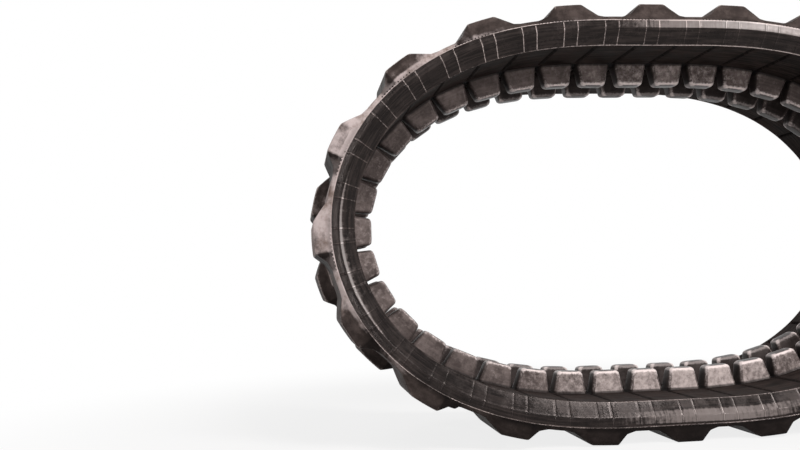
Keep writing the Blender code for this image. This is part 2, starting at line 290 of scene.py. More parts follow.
@dataclass
class GridMesh:
    """Vertices, faces, slots and point values of a piece, gathered from several grids."""

    points: list[Array] = field(default_factory=list)
    loops: list[Array] = field(default_factory=list)
    sizes: list[Array] = field(default_factory=list)
    slots: list[Array] = field(default_factory=list)
    values: dict[str, list[Array]] = field(default_factory=dict)
    count: int = 0

    def add_grid(
        self,
        points: Array,
        values: dict[str, Array | float],
        slots: Array | None = None,
        flipped: bool = False,
    ) -> None:
        """Adds a tube: rows along it, columns around it, and a cap at each end.

        Args:
            points: Array of rows, columns and three coordinates.
            values: Point values by name, each of the grid's rows and columns.
            slots: Material slot of each column's faces, or none for slot zero.
            flipped: Whether the faces turn the other way round.
        """
        rows, columns = points.shape[:2]
        index = self.count + np.arange(rows * columns).reshape(rows, columns)
        after = np.roll(index, -1, axis=1)
        quads = np.stack([index[:-1], after[:-1], after[1:], index[1:]], axis=-1).reshape(-1, 4)
        if flipped:
            quads = quads[:, ::-1]
        column_slots = np.zeros(columns, int) if slots is None else slots
        self.points.append(points.reshape(-1, 3))
        self.loops.append(quads.ravel())
        self.sizes.append(np.full(len(quads), 4))
        self.slots.append(np.tile(column_slots, rows - 1))
        for name, value in values.items():
            self.values.setdefault(name, []).append(np.broadcast_to(value, (rows, columns)).ravel())
        self.count += rows * columns
        for ring in (index[0][::-1], index[-1]):
            self.loops.append(ring[::-1] if flipped else ring)
            self.sizes.append(np.array([columns]))
            self.slots.append(column_slots[:1])

    def build(self, name: str, materials: list[bpy.types.Material], crease: float = 40.0) -> bpy.types.Object:
        """Makes the object, with its slots, point values and smooth shading.

        Args:
            name: Name of the object.
            materials: Its materials, in slot order.
            crease: Angle in degrees from which an edge is sharp.

        Returns:
            The new object, in the scene.
        """
        points = np.concatenate(self.points)
        loops = np.concatenate(self.loops).astype(np.int32)
        sizes = np.concatenate(self.sizes).astype(np.int32)
        mesh = bpy.data.meshes.new(name)
        mesh.vertices.add(len(points))
        mesh.vertices.foreach_set("co", points.astype(np.float32).ravel())
        mesh.loops.add(len(loops))
        mesh.loops.foreach_set("vertex_index", loops)
        mesh.polygons.add(len(sizes))
        starts = np.concatenate([[0], np.cumsum(sizes)[:-1]])
        mesh.polygons.foreach_set("loop_start", starts.astype(np.int32))
        mesh.polygons.foreach_set("material_index", np.concatenate(self.slots).astype(np.int32))
        mesh.update(calc_edges=True)
        mesh.validate()
        mesh.shade_smooth()
        mesh.set_sharp_from_angle(angle=np.radians(crease))
        for key, parts in self.values.items():
            layer = mesh.attributes.new(key, "FLOAT", "POINT")
            layer.data.foreach_set("value", np.concatenate(parts).astype(np.float32))
        for material in materials:
            mesh.materials.append(material)
        LOG.info("%s: %d points, %d faces", name, len(points), len(sizes))
        return add_object(name, mesh)


class NodeChart:
    """Helper that adds and joins the nodes of one node tree."""

    def __init__(self, tree: Tree) -> None:
        """Keeps the tree that the nodes go into."""
        self.tree = tree

    @classmethod
    def of(cls, owner: bpy.types.ID) -> "NodeChart":
        """Chart of a material or a world, whose own nodes are taken out."""
        owner.use_nodes = True
        owner.node_tree.nodes.clear()
        return cls(owner.node_tree)

    def put(self, socket: Socket, value: object) -> None:
        """Joins an output to a socket or sets its own value, with a colour made opaque."""
        if isinstance(value, Socket):
            self.tree.links.new(value, socket)
        else:
            socket.default_value = (*value, 1.0) if isinstance(value, tuple) else value

    def node(
        self, kind: str, inputs: dict[str | int, object] | None = None, **settings: object
    ) -> bpy.types.Node:
        """Adds a node.

        Args:
            kind: Blender's name of its kind.
            inputs: Value or output for each input, by the input's name or number.
            settings: Its properties.

        Returns:
            The node.
        """
        made = self.tree.nodes.new(kind)
        for key, value in settings.items():
            setattr(made, key, value)
        for key, value in (inputs or {}).items():
            self.put(made.inputs[key], value)
        return made

    def group(self, tree: Tree, **inputs: object) -> bpy.types.NodeOutputs:
        """Adds a node group and returns its outputs."""
        return self.node("ShaderNodeGroup", inputs, node_tree=tree).outputs

    def math(self, operation: str, *values: object) -> Socket:
        """Adds a Math node for an operation on up to three values and returns its result."""
        return self.node("ShaderNodeMath", dict(enumerate(values)), operation=operation).outputs[0]

    def scaled(self, value: object, factor: object, base: object) -> Socket:
        """Value times a factor, added to a base."""
        return self.math("MULTIPLY_ADD", value, factor, base)

    def between(self, share: float, first: object, second: object) -> Socket:
        """Value between a first and a second one by a fixed share."""
        return self.scaled(first, 1.0 - share, self.math("MULTIPLY", second, share))

    def noise(self, place: object, scale: object, detail: float, rough: float) -> Socket:
        """Adds a noise texture and returns its value."""
        inputs = {"Vector": place, "Scale": scale, "Detail": detail, "Roughness": rough}
        return self.node("ShaderNodeTexNoise", inputs).outputs["Fac"]

    def ramp(self, value: object, low: float, high: float) -> Socket:
        """Eased share of a value between a low and a high one."""
        inputs = {"Value": value, "From Min": low, "From Max": high}
        return self.node("ShaderNodeMapRange", inputs, interpolation_type="SMOOTHSTEP").outputs["Result"]

    def mix(self, share: object, first: object, second: object) -> Socket:
        """Colour between a first and a second one by a share."""
        inputs = {"Factor": share, "A": first, "B": second}
        return self.node("ShaderNodeMix", inputs, data_type="RGBA").outputs["Result"]

    def attribute(self, name: str) -> Socket:
        """Value of a point attribute of the piece."""
        return self.node("ShaderNodeAttribute", attribute_name=name).outputs["Fac"]

    def object_place(self) -> Socket:
        """Place of the shaded point in the piece's own coordinates."""
        return self.node("ShaderNodeTexCoord").outputs["Object"]

    def relief(self, height: object, strength: float, distance: float) -> Socket:
        """Normal of a bumped surface."""
        inputs = {"Height": height, "Strength": strength, "Distance": distance}
        return self.node("ShaderNodeBump", inputs).outputs["Normal"]

    def mix_shaders(self, share: object, first: bpy.types.Node, second: bpy.types.Node) -> bpy.types.Node:
        """Shader between a first and a second one by a share."""
        return self.node("ShaderNodeMixShader", {0: share, 1: first.outputs[0], 2: second.outputs[0]})

    def close(self, shader: bpy.types.Node, kind: str = "ShaderNodeOutputMaterial") -> None:
        """Joins a shader to the output of the material or the world."""
        self.node(kind, {"Surface": shader.outputs[0]})


class GroupChart(NodeChart):
    """Chart of a new shader node group, with a place and named values as its inputs."""

    def __init__(self, name: str, **values: float) -> None:
        """Makes the group's tree and its inputs, with the values as defaults."""
        super().__init__(bpy.data.node_groups.new(name, "ShaderNodeTree"))
        self.new_socket("Place", "INPUT", "NodeSocketVector")
        for key, value in values.items():
            self.new_socket(key, "INPUT").default_value = value
        self.given = self.node("NodeGroupInput").outputs

    def new_socket(
        self, name: str, way: str, kind: str = "NodeSocketFloat"
    ) -> bpy.types.NodeTreeInterfaceSocket:
        """Adds an input or output to the group itself."""
        return self.tree.interface.new_socket(name, in_out=way, socket_type=kind)

    def give(self, **results: Socket) -> Tree:
        """Makes an output for each result, joins it, and returns the finished group."""
        for key in results:
            self.new_socket(key, "OUTPUT")
        self.node("NodeGroupOutput", results)
        return self.tree


def moulded_grain_group() -> Tree:
    """Grain of moulded rubber: fine pits over slow waves, and a patchy sheen."""
    chart = GroupChart("moulded_grain", Coarse=90.0, Fine=480.0)
    place = chart.given["Place"]
    coarse = chart.noise(place, chart.given["Coarse"], 4.0, 0.5)
    fine = chart.noise(place, chart.given["Fine"], 2.0, 0.5)
    patches = chart.ramp(chart.noise(place, 34.0, 7.0, 0.72), 0.40, 0.66)
    return chart.give(Height=chart.between(0.3, coarse, fine), Patches=patches)


def dust_film_group() -> Tree:
    """Dry dust: an amount broken up by cloudy noise and streaks."""
    chart = GroupChart("dust_film", Amount=0.0, Streaks=0.35)
    place = chart.given["Place"]
    streaks = chart.math("MULTIPLY", chart.noise(place, 210.0, 3.0, 0.7), chart.given["Streaks"])
    broken = chart.scaled(chart.noise(place, 34.0, 6.0, 0.62), 1.45, streaks)
    shown = chart.scaled(chart.given["Amount"], 1.15, broken)
    return chart.give(Mask=chart.ramp(shown, 1.34, 1.84))


def edge_wear_group() -> Tree:
    """Abraded edges and painted highlights: the piece's share of both, thinned out by speckled noise."""
    chart = GroupChart("edge_wear", Wear=0.0, Amount=0.8)
    speck = chart.noise(chart.given["Place"], 320.0, 4.0, 0.7)
    lifted = chart.scaled(chart.given["Wear"], chart.given["Amount"], speck)
    return chart.give(Mask=chart.ramp(lifted, 0.72, 1.25))


def running_streaks_group() -> Tree:
    """Streaks drawn out over or along the belt, by the belt's own two measures.

    The measure along the loop is laid round a circle as long as the loop, by its cosine and
    sine, so that the streaks close on themselves.
    """
    chart = GroupChart("running_streaks", Run=0.0, Round=0.0, Along=300.0, Over=40.0)
    length = LoopPath().length()
    angle = chart.math("MULTIPLY", chart.given["Run"], 2 * np.pi / length)
    radius = chart.math("MULTIPLY", chart.given["Along"], length / (2 * np.pi))
    circle = {
        0: chart.math("MULTIPLY", chart.math("COSINE", angle), radius),
        1: chart.math("MULTIPLY", chart.math("SINE", angle), radius),
        2: chart.math("MULTIPLY", chart.given["Round"], chart.given["Over"]),
    }
    joined = chart.node("ShaderNodeCombineXYZ", circle).outputs[0]
    return chart.give(Height=chart.noise(joined, 1.0, 5.0, 0.62))


@dataclass
class FinishKit:
    """The node groups that the finishes share."""

    streaks: Tree = field(default_factory=running_streaks_group)
    grain: Tree = field(default_factory=moulded_grain_group)
    dust: Tree = field(default_factory=dust_film_group)
    wear: Tree = field(default_factory=edge_wear_group)


@dataclass(frozen=True)
class Finish:
    """A surface's finish, made into a material over the shared node groups."""

    name: str

    def inputs(self, chart: NodeChart, kit: FinishKit) -> dict[str, object]:
        """Values and outputs for the inputs of the surface's shader."""
        raise NotImplementedError

    def make(self, kit: FinishKit) -> bpy.types.Material:
        """Builds the material.

        Args:
            kit: The shared node groups.

        Returns:
            The material.
        """
        material = bpy.data.materials.new(self.name)
        chart = NodeChart.of(material)
        chart.close(chart.node("ShaderNodeBsdfPrincipled", self.inputs(chart, kit)))
        return material


@dataclass(frozen=True)
class RubberFinish(Finish):
    """Dark moulded rubber with patches, dust, abraded edges and scuffs, under painted highlights and painted
    shade.
    """

    base: Colour
    patch: Colour
    dust: Colour = (0.50, 0.425, 0.415)
    soil: Colour = (0.185, 0.137, 0.118)
    # Pale colour of abraded edges, also laid on as painted highlight.
    worn_and_highlit: Colour = (0.50, 0.425, 0.405)
    # Pale colour of scuffs and of painted highlights.
    scuffed_and_highlit: Colour = (0.54, 0.46, 0.44)
    # Brightest colour: a painted glint on the strongest painted highlights.
    painted_glint: Colour = (0.86, 0.79, 0.77)
    # Near-black colour of painted shade.
    crease: Colour = (0.003, 0.0025, 0.0025)
    sheen_tint: Colour = (1.0, 0.88, 0.85)
    smooth: float = 0.28
    dull: float = 0.5
    dust_dulling: float = 0.3
    shine: float = 0.2
    smeared: float = 0.0
    smear_scales: Pair = (22.0, 420.0)
    smear_edges: Pair = (0.42, 0.64)
    soil_edges: Pair = (0.42, 0.66)
    brushed: float = 0.5
    # Shares at which scuffs and painted highlights begin and are full; beyond them comes the painted glint.
    scuff_and_highlight_ramp: Pair = (0.92, 1.38)
    painted_glint_span: float = 0.4
    relief: float = 0.6
    relief_depth: float = 0.6 * MM

    def colour(self, chart: NodeChart, kit: FinishKit, patches: object, dust: object) -> Socket:
        """Colour of the bare rubber, and over it scuffs and painted highlights, a painted glint, abraded
        edges with painted highlights, dust and painted shade.

        Args:
            chart: Chart of the material.
            kit: The shared node groups.
            patches: Share of the patches.
            dust: Share of the dust.

        Returns:
            The colour's output.
        """
        place = chart.object_place()
        measures = {"Run": chart.attribute("run"), "Round": chart.attribute("round")}
        along, over = self.smear_scales
        smear = chart.group(kit.streaks, **measures, Along=along, Over=over)["Height"]
        mottle = chart.between(self.smeared, patches, chart.ramp(smear, *self.smear_edges))
        drawn = chart.group(kit.streaks, **measures)["Height"]
        rub = chart.between(self.brushed, chart.noise(place, 150.0, 6.0, 0.75), drawn)
        # Random streaks plus the piece's share of scuffs and painted highlight.
        scuff_and_highlight_share = chart.math("ADD", rub, chart.attribute("scuff_and_highlight"))
        painted_glint_start = self.scuff_and_highlight_ramp[1]
        soiled = chart.ramp(chart.noise(place, 30.0, 8.0, 0.7), *self.soil_edges)
        colour = chart.mix(mottle, self.base, self.patch)
        # Layers: scuffs and painted highlight, painted glint, abraded edges and painted highlight, dust, then
        # painted shade.
        for share, coat in (
            (chart.ramp(scuff_and_highlight_share, *self.scuff_and_highlight_ramp), self.scuffed_and_highlit),
            (chart.ramp(scuff_and_highlight_share, painted_glint_start, painted_glint_start + self.painted_glint_span), self.painted_glint),
            (chart.group(kit.wear, Place=place, Wear=chart.attribute("wear"))["Mask"], self.worn_and_highlit),
            (dust, chart.mix(soiled, self.dust, self.soil)),
            (chart.attribute("crease"), self.crease),
        ):
            colour = chart.mix(share, colour, coat)
        return colour

    def inputs(self, chart: NodeChart, kit: FinishKit) -> dict[str, object]:
        """Layered colour, a gloss that patches and dust dull, and the grain's relief."""
        place = chart.object_place()
        grain = chart.group(kit.grain, Place=place)
        dust = chart.group(kit.dust, Place=place, Amount=chart.attribute("dust"))["Mask"]
        gloss = chart.scaled(grain["Patches"], self.dull - self.smooth, self.smooth)
        return {
            "Base Color": self.colour(chart, kit, grain["Patches"], dust),
            "Roughness": chart.scaled(dust, self.dust_dulling, gloss),
            "Normal": chart.relief(grain["Height"], self.relief, self.relief_depth),
            "Specular IOR Level": self.shine,
            "Specular Tint": self.sheen_tint,
        }


@dataclass(frozen=True)
class SteelFinish(Finish):
    """Forged or drawn steel, dull, with darker scale in patches."""

    bright: Colour = (0.30, 0.285, 0.27)
    scale: Colour = (0.075, 0.06, 0.05)
    smooth: float = 0.38
    dull: float = 0.7
    coarse: float = 160.0
    metal: float = 0.95
    scale_metal: float = 0.35
    relief: float = 0.3
    relief_depth: float = 0.3 * MM

    def inputs(self, chart: NodeChart, kit: FinishKit) -> dict[str, object]:
        """Colour, gloss and metal by patches of scale, and the grain's relief."""
        grain = chart.group(kit.grain, Place=chart.object_place(), Coarse=self.coarse)
        patches = grain["Patches"]
        return {
            "Base Color": chart.mix(patches, self.bright, self.scale),
            "Roughness": chart.scaled(patches, self.dull - self.smooth, self.smooth),
            "Metallic": chart.scaled(patches, self.scale_metal - self.metal, self.metal),
            "Normal": chart.relief(grain["Height"], self.relief, self.relief_depth),
        }


@dataclass(frozen=True)
class SectionPoint:
    """A point of the belt's section, on the plain belt and where a tread lug stands.

    Sizes are in millimetres. The flash is how far a mould line stands out there, the groove
    is the share of the inner groove's depth, and the last pair is the share of abraded edge
    and painted highlight on the plain belt and on a lug.
    """

    plain: Pair
    lug: Pair
    zone: SkinZone
    flash: Pair = (0.0, 0.0)
    groove: float = 0.0
    wear: Pair = (0.0, 0.0)


def inner_point(across: float, height: float = 14.0, groove: float = 0.0) -> SectionPoint:
    """A point of the inner face, at the height of the roller path unless another is given."""
    return SectionPoint((across, height), (across, height), SkinZone.INNER, groove=groove)


def edge_point(across: float, height: float, **more: Pair) -> SectionPoint:
    """A point of the side face, with its flash, or its share of abraded edge and painted highlight."""
    return SectionPoint((across, height), (across, height), SkinZone.EDGE, **more)


def tread_point(across: float, height: float, lug: Pair, wear: float = 0.0) -> SectionPoint:
    """A point of the outer face, with its place on a lug and its share of abraded edge there."""
    return SectionPoint((across, height), lug, SkinZone.TREAD, wear=(0.0, wear))


BELT_SECTION = (
    inner_point(18.0, 6.0),
    inner_point(18.0, 12.0),
    inner_point(18.6, 13.6),
    *(inner_point(across) for across in (20.5, 33.0, 47.5, 49.0)),
    *(inner_point(across, groove=1.0) for across in (50.5, 70.0, 92.0, 114.0, 131.5)),
    inner_point(134.0),
    inner_point(136.2, 13.9),
    edge_point(136.9, 14.3, wear=(0.9, 0.9)),
    edge_point(137.6, 14.3, wear=(1.0, 1.0)),
    edge_point(138.3, 13.0, flash=(0.3, 0.2), wear=(0.3, 0.3)),
    edge_point(139.7, 10.6, flash=(0.55, 0.36)),
    edge_point(142.5, 6.2, flash=(0.55, 0.36)),
    edge_point(145.4, 1.8, flash=(0.55, 0.36)),
    edge_point(147.5, -1.3, flash=(0.55, 0.36)),
    edge_point(148.45, -2.75, flash=(0.6, 0.3)),
    edge_point(148.85, -3.55, flash=(0.62, 0.24)),
    edge_point(149.12, -4.5, flash=(0.62, 0.16)),
    edge_point(149.28, -5.6, flash=(0.62, 0.08)),
    edge_point(149.35, -8.6, flash=(0.62, 0.0)),
    edge_point(149.35, -11.2, flash=(0.62, 0.0)),
    edge_point(149.3, -13.5, flash=(0.62, 0.0)),
    edge_point(149.3, -14.2),
    edge_point(149.6, -14.6, wear=(0.85, 0.7)),
    edge_point(149.6, -15.1, wear=(0.85, 0.7)),
    tread_point(149.3, -15.5, (149.4, -15.5)),
    tread_point(148.6, -17.0, (149.2, -17.5)),
    tread_point(147.7, -18.6, (148.9, -22.0)),
    tread_point(146.8, -19.6, (148.4, -29.5)),
    tread_point(145.6, -20.0, (148.0, -34.6)),
    tread_point(144.4, -20.0, (147.3, -35.4), 0.8),
    tread_point(142.8, -20.0, (145.8, -35.78), 0.5),
    tread_point(139.0, -20.0, (141.5, -35.78)),
    *(tread_point(across, -20.0, (across, -35.78)) for across in (126.0, 106.0, 86.0, 66.0)),
    tread_point(47.0, -20.0, (46.0, -35.78)),
    tread_point(37.0, -20.0, (33.6, -35.78)),
    tread_point(33.0, -20.0, (31.2, -35.4), 0.8),
    tread_point(30.0, -20.0, (29.6, -33.6), 0.3),
    tread_point(27.6, -20.0, (27.6, -28.2)),
    tread_point(25.6, -20.0, (25.4, -22.4)),
    tread_point(24.0, -20.0, (24.0, -20.5)),
    *(tread_point(*place, place) for place in ((22.0, -20.0), (19.4, -20.0), (18.3, -19.4), (18.0, -17.0))),
    inner_point(18.0, -6.0),
)

SKIN_FINISHES = (
    RubberFinish(
        "inner_rubber", (0.007, 0.0050, 0.0045), (0.050, 0.037, 0.0335),
        smooth=0.6, dull=0.8, shine=0.03, smeared=0.6,
    ),
    RubberFinish(
        "edge_rubber", (0.009, 0.0064, 0.0057), (0.088, 0.067, 0.0615),
        smooth=0.14, dull=0.36, shine=0.17, smeared=0.7, scuff_and_highlight_ramp=(1.0, 1.28), relief=0.4,
    ),
    RubberFinish(
        "tread_rubber", (0.026, 0.0195, 0.0177), (0.088, 0.068, 0.0625),
        smooth=0.55, dull=0.8, shine=0.05, smeared=0.25,
    ),
)
# The guide lugs' pale edge colour is raised to serve as painted highlight on their tips.
LUG_RUBBER = RubberFinish(
    "guide_lug_rubber", (0.062, 0.048, 0.045), (0.175, 0.141, 0.133), worn_and_highlit=(0.80, 0.70, 0.68),
    smooth=0.3, dull=0.5, shine=0.13, smeared=0.2, brushed=0.12, relief=0.8,
)
BRIDGE_RUBBER = RubberFinish(
    "bridge_rubber", (0.018, 0.014, 0.013), (0.038, 0.030, 0.028), smooth=0.6, dull=0.8, shine=0.04,
)
BEAD_RUBBER = RubberFinish(
    "bead_rubber", (0.008, 0.0062, 0.0058), (0.014, 0.011, 0.0102), smooth=0.25, dull=0.4, shine=0.12,
)
CORD_STEEL = SteelFinish("cord_steel_wire", (0.42, 0.40, 0.38), (0.16, 0.14, 0.125), smooth=0.3, dull=0.5)
CORE_STEEL = SteelFinish("forged_core_steel")


class SectionArrays:
    """The section's points as arrays, lengths in metres apart from the heights in millimetres."""

    def __init__(self, points: tuple[SectionPoint, ...]) -> None:
        """Gathers the points' values and marks the parts of the section."""
        self.plain = np.array([point.plain for point in points]) * MM
        self.raised = np.array([point.lug for point in points]) * MM
        self.flash = np.array([point.flash for point in points]) * MM
        self.groove = np.array([point.groove for point in points])
        self.wear = np.array([point.wear for point in points])
        self.slots = np.array([point.zone.value for point in points])
        self.inner, self.edge, self.tread = (self.slots == zone.value for zone in SkinZone)
        self.height = np.array([point.plain[1] for point in points])
        self.ridged = self.flash.max(axis=1) > 0
        self.strip = self.edge & (self.height < -14.0)
        self.rim = self.tread & (self.plain[:, 0] > 140.0 * MM)
        steps = np.linalg.norm(np.diff(self.plain, axis=0), axis=1)
        self.around = np.concatenate([[0.0], np.cumsum(steps)])


@dataclass(frozen=True)
class LugProfile:
    """Height of the tread along one row of lugs, in millimetres.

    It is a trapezoid with a gentle and a steep flank, repeated every two pitches and averaged
    over a short width so that its corners are round.
    """

    pitch: float
    places: tuple[float, ...] = (-40.0, -34.25, -26.25, -5.25, 26.25, 37.25, 47.75, 65.0)
    heights: tuple[float, ...] = (0.0, 0.0, 1.5, 16.0, 16.0, 3.5, 0.0, 0.0)
    plateau: tuple[int, int] = (3, 4)
    rounding: float = 1.5
    sample: float = 0.1
    crest_half: float = 3.0
    steep_start: Pair = (-1.0, 3.0)
    steep_end: Pair = (19.0, 5.0)

    def local(self, along: Array, side: Side) -> Array:
        """Places in the row's period, counted from the middle of a link that has a lug."""
        start = 0.0 if side is Side.NEAR else self.pitch
        first = self.places[0]
        return ((along - start - first * MM) % (2 * self.pitch)) / MM + first

    def share(self, along: Array, side: Side) -> Array:
        """Height as a share of a lug's height.

        Args:
            along: Places along the loop.
            side: The row.

        Returns:
            The shares, 1 on a lug's plateau.
        """
        fine = np.arange(self.places[0], self.places[-1], self.sample)
        plain = np.interp(fine, self.places, self.heights) / max(self.heights)
        width = int(self.rounding / self.sample)
        kernel = np.convolve(np.ones(width) / width, np.ones(width) / width)
        padded = np.pad(plain, len(kernel) // 2, mode="edge")
        table = np.convolve(padded, kernel, mode="valid")[: len(fine)]
        return np.interp(self.local(along, side), fine, table)

    def steep(self, along: Array, side: Side) -> Array:
        """1 on the steep flanks and on the low ground behind them, 0 elsewhere."""
        past = self.local(along, side) - self.places[self.plateau[1]]
        risen, fallen = (smoothstep((past - at) / over) for at, over in (self.steep_start, self.steep_end))
        return risen * (1.0 - fallen)

    def crest(self, along: Array, side: Side) -> Array:
        """1 on the two edges of the plateaus, falling off evenly to both sides."""
        local = self.local(along, side)
        away = np.minimum(*(np.abs(local - self.places[end]) for end in self.plateau))
        return np.clip(1.0 - away / self.crest_half, 0.0, 1.0)


@dataclass
class TrackBelt:
    """The belt with its tread lugs, grooves and mould lines, as one skin over the loop."""

    path: LoopPath
    kit: FinishKit
    section: SectionArrays = field(default_factory=lambda: SectionArrays(BELT_SECTION))
    step: float = 2.2 * MM
    least_step: float = 0.7 * MM
    end_clear: float = 0.4 * MM
    groove_half: float = 3.2 * MM
    groove_depth: float = 3.5 * MM
    groove_rows: tuple[float, ...] = (-1.25, -1.0, -0.5, 0.0, 0.5, 1.0, 1.25)
    line_centre: float = 10.5 * MM
    line_spacing: float = 8.7 * MM
    line_half: float = 1.15 * MM
    line_rows: tuple[float, ...] = (-1.2, -0.9, -0.3, 0.3, 0.9, 1.2)
    line_least: float = 0.55
    line_height = LinkBand(22.0, 9.0, 0.45)
    open_near: float = 0.05 * MM
    open_slope: float = 0.019
    open_row: float = 1.3 * MM
    tongue_reach: float = 3.0 * MM
    tongue_inset: float = 0.6 * MM

    def stations(self, start: float, end: float) -> Array:
        """Places along the loop where the skin has a row, closer at grooves and mould lines.

        Args:
            start: First place.
            end: Last place.

        Returns:
            The places in order.
        """
        half = self.path.pitch / 2
        even = np.arange(-half, half, self.step)
        pair = np.array([[-1.0], [1.0]])
        groove = half * pair + np.array(self.groove_rows) * self.groove_half
        line = self.line_centre + self.line_spacing * pair + np.array(self.line_rows) * self.line_half
        special = np.unique(np.round(np.concatenate([groove.ravel(), line.ravel()]), 7))
        special = special[(special >= -half) & (special < half)]
        clear = np.abs(even[:, None] - special[None, :]).min(axis=1) > self.least_step
        local = np.sort(np.concatenate([even[clear], special]))
        links = np.arange(np.floor(start / self.path.pitch) - 1, np.ceil(end / self.path.pitch) + 2)
        every = (links[:, None] * self.path.pitch + local[None, :]).ravel()
        inside = every[(every > start + self.end_clear) & (every < end - self.end_clear)]
        return np.concatenate([[start], inside, [end]])

    def seam_share(self, along: Array) -> Array:
        """Height of the mould lines, two thin triangles for each pitch."""
        local = (along + self.path.pitch / 2) % self.path.pitch - self.path.pitch / 2
        away = np.abs(np.abs(local - self.line_centre) - self.line_spacing)
        return np.clip(1.0 - away / self.line_half, 0.0, 1.0)

    def from_gap(self, along: Array) -> Array:
        """Distance from the nearest gap, in half widths of the groove."""
        return np.abs(along % self.path.pitch - self.path.pitch / 2) / self.groove_half

    def groove_share(self, along: Array) -> Array:
        """Depth of the inner grooves, a notch at each gap that falls off evenly."""
        return np.clip(1.0 - self.from_gap(along), 0.0, 1.0)

    def shrunk(self, across: Array, inward: Array) -> tuple[Array, Array]:
        """Section moved inwards: each point goes along the mean normal of its two edges."""
        right, up = (np.roll(grid, -1, axis=1) - np.roll(grid, 1, axis=1) for grid in (across, inward))
        share = self.tongue_inset / np.hypot(right, up)
        return across + up * share, inward - right * share

    def band(self, mesh: GridMesh, side: Side, start: float, end: float, border: float | None = None) -> None:
        """Adds one half of the belt between two places.

        Args:
            mesh: The mesh that the half goes into.
            side: The half.
            start: First place along the loop.
            end: Last place along the loop.
            border: Place of the open joint, if the half has a free end at it. The end's face
                leans back from the line of bending, to leave room for the bend. A half that
                runs over the border is the tongue, which fills the slit from inside.
        """
        along = self.stations(start, end)
        tongue = border is not None and start < border < end
        ended = border is not None and not tongue
        if ended:
            along = along[(np.abs(along - border) > self.open_row) | (along == border)]
        column = along[:, None]
        section = self.section
        lug = LugProfile(self.path.pitch).share(column, side)
        line = self.seam_share(column) * (self.line_least + self.line_height.at(column / self.path.pitch))
        rise = section.raised - section.plain
        across, inward = (
            section.plain[:, axis] + rise[:, axis] * lug + section.flash[:, axis] * line for axis in range(2)
        )
        inward = inward - self.groove_depth * self.groove_share(column) * section.groove
        if tongue:
            across, inward = self.shrunk(across, inward)
        stations = np.broadcast_to(column, across.shape).copy()
        if ended:
            lean = self.open_near + self.open_slope * np.abs(inward)
            stations[0] += lean[0] * (start == border)
            stations[-1] -= lean[-1] * (end == border)
        points = self.path.place(stations, side.value * across, inward)
        paint = BandPaint(self, side, column, lug, inward, tongue)
        mesh.add_grid(points, paint.values(), section.slots, flipped=side is Side.FAR)

    def finish_piece(self, body: str) -> None:
        """Hides the imported rubber of a body, which the skin stands in for."""
        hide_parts(f"rubber_{body}")

    def make(self) -> None:
        """Builds the skin of each joint's neighbourhood and the two ends at the open joint."""
        finishes = [finish.make(self.kit) for finish in SKIN_FINISHES]
        for span in SPANS:
            start, border, end = span.places(self.path.pitch)
            before, after = span.before.body, span.after.body
            if not span.is_open():
                mesh = GridMesh()
                for side in Side:
                    self.band(mesh, side, start, end)
                piece = mesh.build(f"belt_{before}_to_{after}", finishes)
                span.blend(piece, self.path)
                self.finish_piece(after)
                continue
            for body, low, high in ((before, start, border), (after, border, end)):
                mesh = GridMesh()
                for side in Side:
                    self.band(mesh, side, low, high, border)
                    if high == border:
                        self.band(mesh, side, border - self.tongue_reach, border + self.tongue_reach, border)
                piece = mesh.build(f"belt_end_{body}", finishes)
                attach(piece, body)
                self.finish_piece(body)


